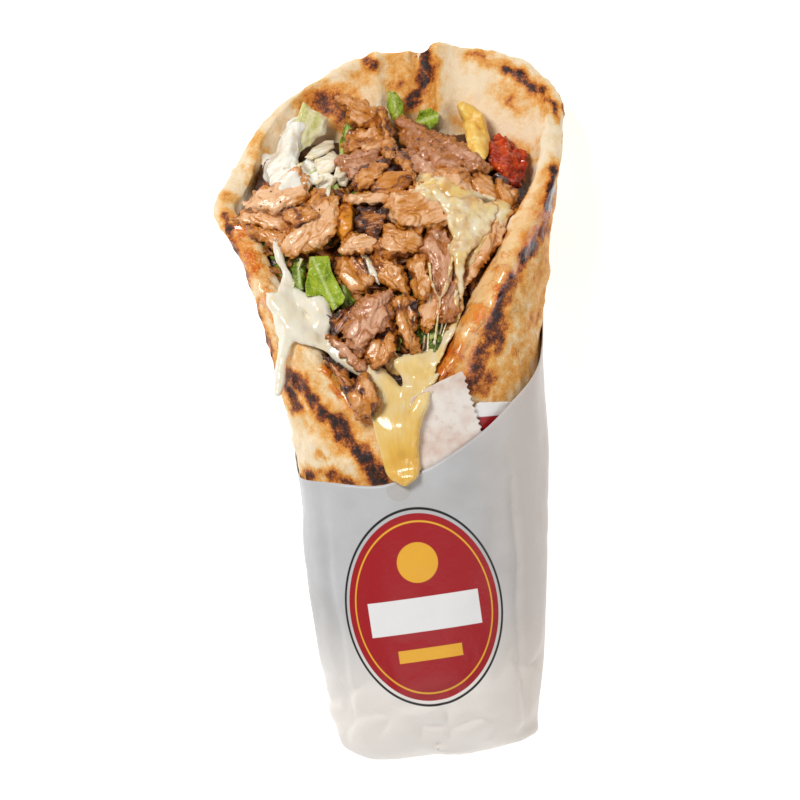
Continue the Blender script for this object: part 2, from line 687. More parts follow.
# %% Baked naan bread
def naan_material():
    """Leavened bread baked on clay: a matt floury skin, golden where it browned, with charred blisters."""
    inner_light = light_inside(0.08, (4, 2, 1), 0.5)
    material, tree, shader, place = new_material("baked_naan_bread", 0.6, **inner_light, **wet_coat(0, 0.06))
    fine = grain(tree, place, 0.8, 4, rough=0.7)
    middle = grain(tree, place, 3.5, 5, rough=0.65)
    broad = grain(tree, place, 14, 3)
    baking = painted(tree, "baking")
    rough_share = sums(tree, sums(tree, baking, 1.5, "MULTIPLY"), 0.3)
    broken = swayed(tree, 0.0, (middle, 1.0), (fine, 0.7))
    baked = sums(tree, swayed(tree, baking, (broad, 0.3)), sums(tree, broken, rough_share, "MULTIPLY"))
    colour = ramp(tree, baked, (0, "#f9e3c0"), (0.1, "#f4d3a0"), (0.25, "#edae56"), (0.4, "#dc8a2c"),
                  (0.54, "#b4601b"), (0.7, "#6c300f"), (0.86, "#30150a"), (1, "#180b06"))
    greased = painted(tree, "grease")
    wet = span(tree, swayed(tree, greased, (broad, 0.8), (middle, 0.4)), 0.15, 0.6)
    colour = blend(tree, sums(tree, wet, 0.7, "MULTIPLY"), colour, "#ffdc9c", "MULTIPLY")
    pooled = sums(tree, span(tree, grain(tree, place, 7, 3), 0.45, 0.62), wet, "MULTIPLY")
    colour = blend(tree, pooled, colour, "#fcd28c", "MULTIPLY")
    tree.links.new(colour, shader.inputs["Base Color"])
    tree.links.new(span(tree, wet, 0, 1, 0.6, 0.22), shader.inputs["Roughness"])
    tree.links.new(wet, shader.inputs["Coat Weight"])
    height = swayed(tree, 0.5, (fine, 0.35), (middle, 1.0), (baked, -0.35), (pooled, 0.8))
    relief(tree, shader, height, 0.8, 0.8)
    return material


finish(naan, naan_material(), "bread", "naan")

# %% [markdown]
# ## Paper sleeve
#
# The sleeve is one sheet of white greaseproof paper, folded flat and glued into a pocket. Pushed open by
# the bread, it has soft creases that run down it, and a crumpled bottom. Each crease is a narrow ridge in
# the grid, along a line that wanders a little. The print is worked out in the material from the piece's
# own X and Y, because ink has no thickness: an oval badge with a plain band and simple shapes.

# %% Sleeve
SLEEVE_COLUMNS = 320
SLEEVE_ROWS = 110
SLEEVE_ROWS_CROWD = 1.25  # above 1, the rows are closer together near the closed end
SLEEVE_POLE_Z = 20
SKIN_MM = PAPER * 0.4  # the inner face is this far inside the outer one
LEAN_MM = 3.2  # how far the cut edge leans in to touch the bread at the sides
EAR_MM, EAR_ANGLE = 3, 92  # the crushed corner at the lower right
ROOM_USED = 0.8  # creases go this far into the room between paper and bread
TIP_WAVE_MM, TIP_WAVE_REACH = 2.2, 24  # the closed end's edge wanders, and how far up it does
# Tall creases: how deep in mm, at which X, how much the noise moves them, how they lean with Y, how wide.
TALL_CREASES = [(1.0, 31, 1, 0, 1.6), (0.7, 25, -1, 0.05, 3.5), (0.8, -34, -1, 0, 2.0),
                (0.5, -20, 1, 0.08, 4)]


def paper_room(angle):
    """How far the sleeve stands off the bread, which is closer behind than in front."""
    return PAPER_ROOM + (PAPER_ROOM_BEHIND - PAPER_ROOM) * smooth(np.abs(angle), 72, 100)


def sleeve_point(angle, y, out):
    """A point of the sleeve, 0 out on its outer face, with a crushed ear at its lower right corner."""
    x, z = section_point(angle, y, paper_room(angle) + PAPER + out)
    from_tip = y - SLEEVE_TIP_Y + np.minimum(out, 0)
    wide, deep = tip_share(from_tip, SLEEVE_TIP_REACH)
    ear = EAR_MM * bump(angle - EAR_ANGLE, 20) * bump(from_tip - 4, 4)
    middle_x, middle_z = track(MIDDLE, y), SLEEVE_POLE_Z
    z = np.maximum(middle_z + (z - middle_z) * deep, np.maximum(-out, 0))
    return np.stack([middle_x + (x - middle_x) * wide + ear, y, z], -1)


def sleeve_creases(points):
    """How deep the paper's creases and dents go inwards at each point, in mm."""
    x, y = points[:, 0], points[:, 1]
    wander = 2.5 * fractal(points * [0.2, 1, 0.2], 40, 2, 2)
    tall = 0
    for deep, at, way, lean, wide in TALL_CREASES:
        tall = tall + deep * bump(x - at - way * wander - y * lean, wide)
    soft = 0.9 * (0.5 + 0.5 * fractal(points * [1, 0.35, 1], 16, 2, 1))
    crumple = 1 - np.abs(fractal(points, 21, 2, 7))
    low = smooth(-y, 50, 88)
    return tall * smooth(-y, -15, 30) * 1.1 + soft * 0.8 + (2.4 * low + 0.3) * (crumple**3 - 0.2)


def towards_middle(points):
    """Directions from points on the sleeve in towards the wrap's long middle line."""
    away = np.stack([track(MIDDLE, points[:, 1]) - points[:, 0], 0 * points[:, 0], 30 - points[:, 2]], 1)
    return away / np.linalg.norm(away, axis=1)[:, None]


def make_sleeve():
    """The sleeve as one closed skin with an outer and an inner face, creased, and wavy at its closed end."""
    angle = turned(np.arange(SLEEVE_COLUMNS) * 360 / SLEEVE_COLUMNS)
    share = (np.arange(1, SLEEVE_ROWS + 1) / SLEEVE_ROWS) ** SLEEVE_ROWS_CROWD
    around = np.broadcast_to(angle, (SLEEVE_ROWS, SLEEVE_COLUMNS))
    edge = track(SLEEVE_EDGE, angle)

    def face(out):
        """The grid of the face that is this far outside the sleeve's outer face."""
        tip = SLEEVE_TIP_Y - out
        return sleeve_point(around, tip + (edge - tip) * share[:, None], out)

    outer = face(0)
    grid = np.concatenate([outer, face(-SKIN_MM)[::-1]])
    pole = np.array([float(track(MIDDLE, SLEEVE_TIP_Y)), SLEEVE_TIP_Y, SLEEVE_POLE_Z])
    piece = closed_skin("greaseproof_sleeve", grid, pole, pole + [0, SKIN_MM, 0])
    points = points_of(piece)
    flat = outer.reshape(-1, 3)
    leaning = LEAN_MM * (bump(angle - 82, 17) + bump(angle + 80, 14)) * smooth(share, 0.7, 1)[:, None]
    creased = np.clip(sleeve_creases(flat), 0, ROOM_USED * paper_room(around).ravel())
    dent = (creased + leaning.ravel()) * smooth(flat[:, 2], 1, 8)
    shift = (towards_middle(flat) * dent[:, None]).reshape(SLEEVE_ROWS, SLEEVE_COLUMNS, 3)
    both = np.concatenate([shift, shift[::-1]]).reshape(-1, 3)
    points[:len(both)] += both
    wave = 0.5 + 0.5 * fractal(points * [1, 0, 0], 17, 3, 13)
    near_tip = 1 - smooth(points[:, 1] - SLEEVE_TIP_Y, 0, TIP_WAVE_REACH)
    points[:, 1] += TIP_WAVE_MM * wave * near_tip
    move_points(piece, points)
    return piece


sleeve = make_sleeve()
print("Sleeve points:", len(sleeve.data.vertices))

# %% [markdown]
# ## Print on greaseproof paper
#
# Bleached greaseproof paper is dense, a little waxy and slightly see-through, so it is greyer over the
# bread and warmer where grease has soaked in. The badge is printed in flat inks. Each shape is a mask
# that is worked out from how far a place is inside an oval or a box, with an edge a quarter of a
# millimetre soft, as ink has.

# %% Printed greaseproof paper
BADGE_MIDDLE = (-2.5, -43)
BADGE_HALF = (27, 35)
BADGE_TURN = math.radians(3.4)
OUTLINE_MM = 0.7
MARGIN_MM = 1.6
LINE_IN_MM, LINE_MM = 1.9, 0.5  # how far inside the red field's edge the yellow line is, and its width
# A box: how far up from the badge's middle, and its half sizes. An oval: its half sizes and its place.
BAND = (-2, 19, 6)
STRIPE = (-16, 11, 2.2)
DISC = (7, 7, (0, 16))
GREASE_SPOT = (4.2, 3.8, (-2.6, 41.4))  # below the drip
INK_SOFT_MM = 0.12
FRONT_Z = (0.03, 0.034)  # the print is only on the upper face, above this height in metres
INK_RED = "#a8141d"
INK_YELLOW = "#f2b233"
INK_BLACK = "#1d1715"
UNPRINTED = "#f1efed"


def badge_shapes(tree, place):
    """Masks of the badge's parts and of a spot of grease, each of them from 0 to 1."""
    x0, y0 = BADGE_MIDDLE
    feeds = {"Vector": place, "Location": (x0 * MM, y0 * MM, 0), "Rotation": (0, 0, BADGE_TURN)}
    moved = add(tree, "ShaderNodeMapping", feeds, vector_type="TEXTURE").outputs[0]
    apart = add(tree, "ShaderNodeSeparateXYZ", {"Vector": moved})
    x = sums(tree, apart.outputs["X"], MM, "DIVIDE")
    y = sums(tree, apart.outputs["Y"], MM, "DIVIDE")

    def oval(half_x, half_y, at=(0, 0)):
        """How far inside an oval each place is, in mm, roughly."""
        u = sums(tree, sums(tree, x, at[0], "SUBTRACT"), half_x, "DIVIDE")
        v = sums(tree, sums(tree, y, at[1], "SUBTRACT"), half_y, "DIVIDE")
        far = sums(tree, sums(tree, sums(tree, u, u, "MULTIPLY"), sums(tree, v, v, "MULTIPLY")), 0.5, "POWER")
        return sums(tree, sums(tree, 1.0, far, "SUBTRACT"), min(half_x, half_y), "MULTIPLY")

    def inside(depth):
        """1 where a depth is above 0, with a soft edge."""
        return span(tree, depth, -INK_SOFT_MM, INK_SOFT_MM)

    def both(a, b):
        """Where two masks overlap."""
        return sums(tree, a, b, "MULTIPLY")

    def ring(depth, low, width):
        """The part of an oval between this depth inside its edge and the next one."""
        past_edge = inside(sums(tree, depth, low, "SUBTRACT"))
        return both(past_edge, inside(sums(tree, low + width, depth, "SUBTRACT")))

    def box(middle_y, half_x, half_y):
        """A box on the badge's upright middle line."""
        tall = sums(tree, half_y, sums(tree, sums(tree, y, middle_y, "SUBTRACT"), 0, "ABSOLUTE"), "SUBTRACT")
        wide = sums(tree, half_x, sums(tree, x, 0, "ABSOLUTE"), "SUBTRACT")
        return both(inside(tall), inside(wide))

    depth = oval(*BADGE_HALF)
    facing = span(tree, add(tree, "ShaderNodeSeparateXYZ", {"Vector": place}).outputs["Z"], *FRONT_Z)
    masks = {
        "outline": ring(depth, 0, OUTLINE_MM),
        "field": inside(sums(tree, depth, MARGIN_MM, "SUBTRACT")),
        "line": ring(depth, MARGIN_MM + LINE_IN_MM, LINE_MM),
        "band": box(*BAND),
        "disc": inside(oval(*DISC)),
        "stripe": box(*STRIPE),
        "grease": sums(tree, inside(oval(*GREASE_SPOT)), 0.35, "MULTIPLY"),
    }
    return {part: both(facing, mask) for part, mask in masks.items()}


INKS = (("outline", INK_BLACK), ("field", INK_RED), ("line", INK_YELLOW), ("band", UNPRINTED),
        ("disc", INK_YELLOW), ("stripe", INK_YELLOW), ("grease", "#a9a096"))


def printed_paper_material():
    """Bleached greaseproof paper: thin and slightly waxy, greyer over the bread, with flat printed inks."""
    material, tree, shader, place = new_material("printed_greaseproof_paper", 0.42)
    cloud = span(tree, grain(tree, place, 26, 3), 0.35, 0.7)
    colour = blend(tree, cloud, "#c6c6c7", "#bcbab9")
    fibre = grain(tree, place, 1.2, 3)
    colour = blend(tree, span(tree, fibre, 0.5, 0.75, 0, 0.12), colour, "#bdb7b2")
    apart = add(tree, "ShaderNodeSeparateXYZ", {"Vector": place})
    towards_end = span(tree, apart.outputs["Y"], -35 * MM, -85 * MM, 0, 0.9)
    colour = blend(tree, towards_end, colour, "#fbf3ea")
    towards_right = span(tree, apart.outputs["X"], 12 * MM, 42 * MM, 0, 0.6)
    colour = blend(tree, towards_right, colour, "#d9c8ba")
    shapes = badge_shapes(tree, place)
    for part, ink in INKS:
        colour = blend(tree, shapes[part], colour, ink)
    tree.links.new(colour, shader.inputs["Base Color"])
    crushed = add(tree, "ShaderNodeTexVoronoi", {"Vector": place, "Scale": 1 / (24 * MM)},
                  feature="DISTANCE_TO_EDGE").outputs["Distance"]
    low = span(tree, apart.outputs["Y"], -58 * MM, -80 * MM, 0.05, 0.6)
    folded = sums(tree, span(tree, crushed, 0, 0.25), sums(tree, low, 1.6, "MULTIPLY"), "MULTIPLY")
    uneven = swayed(tree, 0.5, (grain(tree, place, 8, 3), 1), (fibre, 0.2))
    relief(tree, shader, sums(tree, folded, uneven), 0.7, 0.6)
    return material


finish(sleeve, printed_paper_material(), "paper", "paper_sleeve")

# %% [markdown]
# ## Plies of paper in front of the bread
#
# A torn flap of the sheet's far edge stands in front of the V, with a serrated cut, and grease turns it
# warm and see-through. Below it an inner ply shows a strip of the red print. Both keep their CAD
# outlines, as paper is cut, and a fine remesh only rounds their facets. A modifier does that well, and
# what it gives is kept as a plain mesh, because every piece that follows starts in the same way and is
# then carved.

# %% Fine copies of CAD nodes
SAME_POINT_MM = 0.005  # points closer than this are one point of the CAD solid


def keep_result(piece):
    """Turns what a piece's modifiers give into its plain mesh, and drops the modifiers."""
    mesh = bpy.data.meshes.new_from_object(piece.evaluated_get(bpy.context.evaluated_depsgraph_get()))
    piece.modifiers.clear()
    piece.data = mesh


def remeshed(piece, voxel_mm, steps):
    """Gives a piece even faces, after any modifiers that it has, and softens them this many times."""
    remesh = piece.modifiers.new("remesh", "REMESH")
    remesh.mode = "VOXEL"
    remesh.voxel_size = voxel_mm * MM
    piece.modifiers.new("soft", "SMOOTH").iterations = steps
    keep_result(piece)


def fine_copy(node, name, voxel_mm, steps):
    """A copy of a CAD node with its points merged, remeshed to even faces and then softened."""
    made = bpy.data.objects.new(name, bpy.data.meshes.new(name))
    bpy.context.scene.collection.objects.link(made)
    work = bmesh.new()
    work.from_mesh(frame["nodes"][node].data)
    bmesh.ops.remove_doubles(work, verts=work.verts, dist=SAME_POINT_MM * MM)
    work.to_mesh(made.data)
    work.free()
    remeshed(made, voxel_mm, steps)
    return made


print("CAD triangles of the flap:", len(frame["nodes"]["sleeve_flap"].data.polygons))

# %% Greased flap and printed ply
PLY_VOXEL_MM = 0.3
RED_UP_TO_Y = (20.2, 20.6)  # where the red print ends and the white margin starts


def greased_paper_material():
    """Greaseproof paper over hot bread: warm and see-through with grease, so the red behind it shows."""
    material, tree, shader, place = new_material("greased_paper", 0.35)
    stain = span(tree, grain(tree, place, 12, 3), 0.35, 0.65)
    colour = blend(tree, stain, "#f0e6dc", "#dcbfae")
    colour = blend(tree, span(tree, grain(tree, place, 2.5, 4), 0.5, 0.8, 0, 0.5), colour, "#c9a78e")
    tree.links.new(colour, shader.inputs["Base Color"])
    relief(tree, shader, grain(tree, place, 4, 4), 0.5, 0.5)
    return material


def red_ply_material():
    """The same paper printed red, up to a white margin along its top edge."""
    material, tree, shader, place = new_material("red_printed_paper", 0.4)
    apart = add(tree, "ShaderNodeSeparateXYZ", {"Vector": place})
    printed = span(tree, apart.outputs["Y"], RED_UP_TO_Y[0] * MM, RED_UP_TO_Y[1] * MM, 1, 0)
    mottled = blend(tree, grain(tree, place, 3, 3), "#b5161d", "#8f0f14")
    colour = blend(tree, printed, "#f2efec", mottled)
    tree.links.new(colour, shader.inputs["Base Color"])
    relief(tree, shader, grain(tree, place, 4, 3), 0.3, 0.5)
    return material


finish(fine_copy("sleeve_flap", "greased_flap", PLY_VOXEL_MM, 2), greased_paper_material(),
       "paper_flap", "sleeve_flap")
finish(fine_copy("sleeve_tab", "printed_ply", PLY_VOXEL_MM, 2), red_ply_material(),
       "printed_paper", "sleeve_tab")

# %% [markdown]
# ## Chicken
#
# Thigh meat was roasted, sliced and pulled, so each shred has fibres along it, torn ends, a pale inside
# and a browned outside, wet with fat. A shred starts as a fine copy of its CAD solid. Its own long axis
# is found from its points, and noise stretched along that axis cuts the fibres and clefts. The same
# stretched place is kept as an attribute, so that the material's colour follows the fibres too.

# %% Shreds of chicken
def long_axis(points):
    """The middle of some points, and the direction seen from above in which they reach furthest."""
    middle = points.mean(0)
    flat = (points - middle)[:, :2]
    values, vectors = np.linalg.eigh(flat.T @ flat)
    return middle, vectors[:, int(np.argmax(values))]


def along_fibres(points):
    """Each point's place along, across and up from the middle of its piece, in mm."""
    middle, axis = long_axis(points)
    away = points - middle
    along = away[:, :2] @ axis
    across = away[:, :2] @ np.array([-axis[1], axis[0]])
    return np.stack([along, across, away[:, 2]], 1)


print("Shred 1 runs along:", long_axis(points_of(frame["nodes"]["chicken_1"]))[1].round(2))

# %% Carving the shreds
SHRED_VOXEL_MM = 0.42
LEDGES = (-0.28, -0.02, 0.22)  # the levels of slow noise at which one torn layer steps down to the next
LEDGE_MM = 0.75
FIBRE_MM = 0.16
TORN_TOP_MM, TORN_SIDE_MM = 0.14, 1.7  # how ragged the upper face and the sides are
SWELL_MM = 0.3  # makes up for what the smoothing takes off
BEND_MM = 1.2  # how far the fibres wander
FIBRE_GRAIN = [12, 1.1, 1.1]  # mm along and across the fibres
LAYER_GRAIN = [16, 6, 6]
TONE_STEP = 0.37  # gives each shred a tone unlike that of the next


def make_shred(number):
    """A pulled piece of chicken in place of a CAD node, with fibres, torn layers and ragged sides."""
    piece = fine_copy(f"chicken_{number}", f"chicken_shred_{number}", SHRED_VOXEL_MM, 2)
    points = points_of(piece)
    place = along_fibres(points)
    bend = place + BEND_MM * np.stack([fractal(points, 12, 2, number + s) for s in (1, 2, 3)], 1)
    fibres = fractal(bend / FIBRE_GRAIN, 1, 2, number)
    layers = fractal(bend / LAYER_GRAIN, 1, 2, number + 40)
    torn = fractal(points, 2.6, 4, number + 80)
    steps = sum(smooth(layers, low, low + 0.05) for low in LEDGES) - len(LEDGES) / 2
    rim_of_step = max_of(bump(layers - low - 0.02, 0.06) for low in LEDGES)
    up = normals_of(piece)[:, 2]
    side = 1 - smooth(np.abs(up), 0.3, 0.85)
    ragged = (TORN_TOP_MM + TORN_SIDE_MM * side) * torn
    push(piece, FIBRE_MM * fibres + ragged + LEDGE_MM * steps * (1 - 0.6 * side) + SWELL_MM)
    crust = smooth(fractal(points, 8, 3, number + 5), 0.05, 0.45)
    low = 1 - smooth(place[:, 2], -0.35 * np.ptp(place[:, 2]), 0.2 * np.ptp(place[:, 2]))
    paint(piece, "seared", 0.42 * side + 0.3 * low + 0.35 * rim_of_step + 0.45 * crust)
    paint(piece, "tone", np.full(len(points), (number * TONE_STEP) % 1))
    paint_place(piece, place)
    return piece


print("Torn layers to a shred:", len(LEDGES) + 1)

# %% [markdown]
# ## What roast chicken looks like
#
# Thigh meat is pale where it was pulled open, golden where it met the heat, and nearly black at its
# crust. One colour ramp holds all of that. How done a point is comes from the crust that was painted on
# it, a tone of its own for each shred, and noise drawn out along the fibres. Shreds from nearer the bone
# are rosier inside.

# %% Roast chicken, and the shreds
ROASTED = ((0.5, "#c87a26"), (0.67, "#955019"), (0.84, "#5a2a10"), (1, "#34170b"))
PALE_INSIDE = ("#f2bd8b", "#e19f60", "#d2862c")
ROSY_INSIDE = ("#dba27a", "#c48157", "#b06c34")


def chicken_material(name, doneness, gloss, inside=PALE_INSIDE):
    """Roast thigh meat: pale and fibrous inside, crusted golden and brown at its edges, and wet with fat."""
    inner_light = light_inside(0.05, (3, 1.2, 0.6), 0.4)
    material, tree, shader, place = new_material(name, 0.4, **inner_light, **wet_coat(gloss))
    fibres = grain(tree, fibre_place(tree), 0.6, 4, (11, 1, 1))
    blotch = grain(tree, place, 4.5, 4)
    fine = grain(tree, place, 0.7, 3)
    crust = sums(tree, sums(tree, painted(tree, "seared"), 0.68, "MULTIPLY"), doneness)
    toned = swayed(tree, crust, (painted(tree, "tone"), 0.25), (blotch, 1.1), (fibres, 0.5), (fine, 0.25))
    colour = ramp(tree, toned, (0, inside[0]), (0.17, inside[1]), (0.33, inside[2]), *ROASTED)
    tree.links.new(colour, shader.inputs["Base Color"])
    tree.links.new(span(tree, blotch, 0.42, 0.58, 0.45, 0.16), shader.inputs["Roughness"])
    relief(tree, shader, swayed(tree, 0.5, (fibres, 1.0), (fine, 0.35)), 0.35, 1.0)
    return material


CHICKEN = {
    "chicken_pale": chicken_material("pale_roast_chicken", -0.07, 0.5),
    "chicken_browned": chicken_material("browned_roast_chicken", 0.15, 0.6),
    "chicken_dark": chicken_material("charred_roast_chicken", 0.52, 0.4),
}
rosy = chicken_material("rosy_thigh_meat", -0.02, 0.6, ROSY_INSIDE)
# The shreds that are rosy, pale or charred. All others are browned. A rosy one keeps its own kind's slot.
ROSY = (2, 9, 19, 23, 28, 30, 33)
PALE = (1, 3, 4, 6, 8, 12, 14, 16, 22, 23, 24, 27, 28, 30)
DARK = (9, 11, 13, 31, 33, 34)
SHREDS = 35
for number in range(1, SHREDS + 1):
    kind = "chicken_pale" if number in PALE else "chicken_dark" if number in DARK else "chicken_browned"
    finish(make_shred(number), rosy if number in ROSY else CHICKEN[kind], kind, f"chicken_{number}")

# %% [markdown]
# ## Packed filling
#
# Below the loose shreds the filling is pressed together, and only its top shows, in the gaps. It needs no
# shreds of its own: ridged noise makes it look torn there, and it stays smooth where the bread hides it.

# %% Packed filling below
CORE_RIDGE_MM, CORE_LUMP_MM = 2.2, 0.8
CORE_SEEN_Y, CORE_SEEN_Z = (15, 40), (30, 44)  # the mouth shows the filling past these


def make_core():
    """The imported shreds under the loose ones, rough where the mouth shows them."""
    piece = fine_copy("chicken_core", "packed_chicken", 1.1, 2)
    points = points_of(piece)
    shreds = np.abs(fractal(points * [1, 0.5, 1], 6, 3, 2))
    seen = smooth(points[:, 1], *CORE_SEEN_Y) * smooth(points[:, 2], *CORE_SEEN_Z)
    push(piece, seen * (CORE_RIDGE_MM * (0.35 - shreds) + CORE_LUMP_MM * fractal(points, 3, 2, 6)))
    paint(piece, "seared", 0.5 + 0.5 * fractal(points, 7, 2, 8))
    paint(piece, "tone", 0.5 + 0.5 * fractal(points, 9, 2, 3))
    paint_place(piece, along_fibres(points))
    return piece


packed = chicken_material("packed_roast_chicken", 0.62, 0.3)
finish(make_core(), packed, "packed_chicken", "chicken_core")

# %% [markdown]
# ## Melted cheese
#
# Two cheeses melted together: a white one that ran down over the left lip, and a yellow one that pulls
# into strings over the meat and drips down the front in a thick tongue. Melted cheese has no sharp edges,
# so the copy of the CAD solid is softened many times, swollen into lobes on the left and on the meat, and
# shallow streaks are cut along the lines of its pull. Its yellow and its thin places are painted on its
# points.

# %% Cheese
CHEESE_VOXEL_MM = 0.5
SPOT_AT = (-5.5, 10)  # a darker spot on the drip
SPOT_MM = 2
FLOW_FROM = (-6, -14)  # where the lines of its pull would meet, below the drip
STREAK_MM = 0.12
CHEESE_SWELL_MM = 0.35  # makes up for what the smoothing takes off


def pulled_place(points):
    """Each point's angle and distance from where the lines of pull meet, so that noise runs along them."""
    away = points[:, :2] - FLOW_FROM
    turn = np.degrees(np.arctan2(away[:, 0], away[:, 1]))
    return np.stack([0.6 * turn, 0.09 * np.hypot(*away.T), 0.15 * points[:, 2]], 1)


def make_cheese():
    """The melt: softened, swollen into slow lumps, and thinner and darker towards its edges."""
    piece = fine_copy("melted_cheese", "melted_cheese_drips", CHEESE_VOXEL_MM, 12)
    points = points_of(piece)
    place = pulled_place(points)
    streaks = fractal(place, 1.6, 2, 3)
    left = 1 - smooth(points[:, 0], -24, -12)
    on_meat = smooth(points[:, 1], 48, 58) * smooth(points[:, 0], 0, 6)
    lumpy = (0.3 + 0.9 * left) * fractal(points, 8, 2, 7) + 1.0 * on_meat * fractal(points, 4.5, 3, 12)
    push(piece, STREAK_MM * streaks * (1 - left) + lumpy + CHEESE_SWELL_MM)
    paint_place(piece, place)
    up = normals_of(piece)[:, 2]
    yellow = smooth(points[:, 0], -30, -6)
    thick = 0.5 + 0.5 * fractal(points, 9, 3, 5)
    in_front = 1 - smooth(points[:, 1], 30, 50)
    tongue = 1 - smooth(points[:, 1], 2, 34)
    paint(piece, "yellow", yellow * (0.06 + 0.1 * in_front + 0.38 * tongue + 0.3 * thick))
    paint(piece, "thin", on_meat * (1.1 - smooth(up, 0.3, 0.9) * 0.7 + 0.8 * fractal(points, 6, 3, 15)))
    spot_x, spot_y = SPOT_AT
    paint(piece, "browned", bump(np.hypot(points[:, 0] - spot_x, 0.8 * (points[:, 1] - spot_y)), SPOT_MM))
    return piece


def cheese_material():
    """Melted cheese: smooth and wet, cream white to butter yellow, darker where the meat shows through."""
    inner_light = light_inside(0.3, (6, 4, 1.5), 0.3)
    material, tree, shader, place = new_material("melted_cheese_glossy", 0.22, **inner_light, **wet_coat(0.5))
    streak = grain(tree, fibre_place(tree), 0.9, 3)
    share = swayed(tree, painted(tree, "yellow"), (streak, 0.35), (grain(tree, place, 7, 3), 0.35))
    colour = ramp(tree, share, (0, "#f2ead6"), (0.3, "#f2d590"), (0.6, "#edbe5a"), (1, "#dc9f3c"))
    colour = blend(tree, span(tree, painted(tree, "thin"), 0.1, 1, 0, 0.75), colour, "#d0964f")
    colour = blend(tree, span(tree, painted(tree, "browned"), 0.2, 1, 0, 0.45), colour, "#cf9a3a")
    tree.links.new(colour, shader.inputs["Base Color"])
    relief(tree, shader, streak, 0.3, 0.6)
    return material


cheese_finish = cheese_material()
finish(make_cheese(), cheese_finish, "cheese", "melted_cheese")

# %% [markdown]
# ## Vegetables, fry and sauces
#
# Raw onion is white, wet and see-through, with fine lines along it. Lettuce is thin and bright, with a
# paler rib and veins. The fry is a bent stick of potato with a blistered golden skin. The relish is
# chopped tomato in its own glossy juice, and the white sauce is thick yoghurt.

# %% Onion, lettuce, fry, relish and sauce
LEAF_VOXEL_MM = 0.33
LEAF_WAVE_MM, LEAF_RUFFLE_MM, LEAF_CRINKLE_MM = 0.4, 0.9, 0.35  # all over, at the edge, and finer
VEIN_MM = 2.6


def wet_material(name, colours, mm, stretch, roughness, depth_mm, inner=0.2, along=False):
    """A wet food whose colour runs from one to the next of three colours, in lumps of this many mm."""
    material, tree, shader, place = new_material(name, roughness, **light_inside(inner, (4, 3, 2), 0.4))
    if along:
        place = fibre_place(tree)
    share = swayed(tree, grain(tree, place, mm, 4, stretch), (grain(tree, place, mm * 0.3, 3), 0.4))
    colour = blend(tree, span(tree, share, 0.32, 0.52), colours[0], colours[1])
    colour = blend(tree, span(tree, share, 0.52, 0.72), colour, colours[2])
    tree.links.new(colour, shader.inputs["Base Color"])
    relief(tree, shader, share, depth_mm, 0.8)
    return material


def make_soft_piece(node, name, voxel_mm, steps, lump_mm, depth_mm, seed):
    """A fine copy of a CAD node with lumps of this size and depth."""
    piece = fine_copy(node, name, voxel_mm, steps)
    points = points_of(piece)
    place = along_fibres(points)
    push(piece, depth_mm * fractal(points, lump_mm, 3, seed))
    paint_place(piece, place)
    return piece


def make_leaf(number):
    """A lettuce leaf: its two faces rise and fall together, most of all at its ruffled edge."""
    piece = fine_copy(f"lettuce_{number}", f"lettuce_leaf_{number}", LEAF_VOXEL_MM, 2)
    points = points_of(piece)
    place = along_fibres(points)
    reach = np.hypot(place[:, 0] / np.ptp(place[:, 0]), place[:, 1] / np.ptp(place[:, 1])) * 2
    over = points * [1, 1, 0]
    points[:, 2] += (LEAF_WAVE_MM + LEAF_RUFFLE_MM * smooth(reach, 0.4, 1)) * fractal(over, 4, 2, number)
    points[:, 2] += LEAF_CRINKLE_MM * fractal(over, 1.6, 2, number + 20)
    move_points(piece, points)
    paint_place(piece, place)
    return piece


def leaf_material(name, light, middle, dark):
    """Crisp lettuce: thin and a little see-through, in patches of green, with a pale rib and fine veins."""
    material, tree, shader, _ = new_material(name, 0.32, **light_inside(0.2, (1, 2, 0.5), 0.5))
    along = fibre_place(tree)
    patch = grain(tree, along, 4, 3, (2, 1, 1))
    veins = add(tree, "ShaderNodeTexVoronoi", {"Vector": along, "Scale": 1 / (VEIN_MM * MM)},
                feature="DISTANCE_TO_EDGE").outputs["Distance"]
    across = sums(tree, add(tree, "ShaderNodeSeparateXYZ", {"Vector": along}).outputs["Y"], 0, "ABSOLUTE")
    colour = ramp(tree, swayed(tree, 0.5, (patch, 2.5)), (0, light), (0.5, middle), (1, dark))
    colour = blend(tree, span(tree, veins, 0.02, 0.1, 0.45, 0), colour, light)
    colour = blend(tree, span(tree, across, 0.2 * MM, 0.9 * MM, 0.7, 0), colour, "#cfd98e")
    tree.links.new(colour, shader.inputs["Base Color"])
    relief(tree, shader, span(tree, veins, 0, 0.15), 0.4, 0.6)
    return material


print("Materials so far:", len(bpy.data.materials))

# %% Small pieces of food
onion = wet_material("raw_white_onion", ("#fffaf0", "#f3e4c4", "#dfcd9c"), 2, (7, 1, 1), 0.16, 0.25,
                     0.3, True)
green_onion = wet_material("raw_green_onion", ("#f8f2dc", "#e6dfa6", "#c4c66c"), 3, (5, 1, 1), 0.18, 0.25,
                           0.3, True)
lettuce = leaf_material("green_lettuce_leaf", "#bccb40", "#93ac22", "#617a0e")
dark_lettuce = leaf_material("dark_lettuce_leaf", "#8fa632", "#5b7414", "#30430a")
fry = wet_material("fried_potato", ("#ffdf86", "#f6c455", "#d89a3c"), 5, (3, 1, 1), 0.38, 0.35, 0.2, True)
pepper = wet_material("fried_yellow_pepper", ("#f2b048", "#dd8a22", "#9a4f10"), 4, (2, 1, 1), 0.25, 0.3, 0.15)
relish = wet_material("chopped_tomato_relish", ("#d9551a", "#b4300d", "#671307"), 4, (1, 1, 1), 0.06,
                      0.3, 0.1)
sauce = wet_material("yoghurt_sauce", ("#fdfaf2", "#f6eede", "#e6d6ba"), 7, (1, 1, 1), 0.16, 0.25, 0.3)

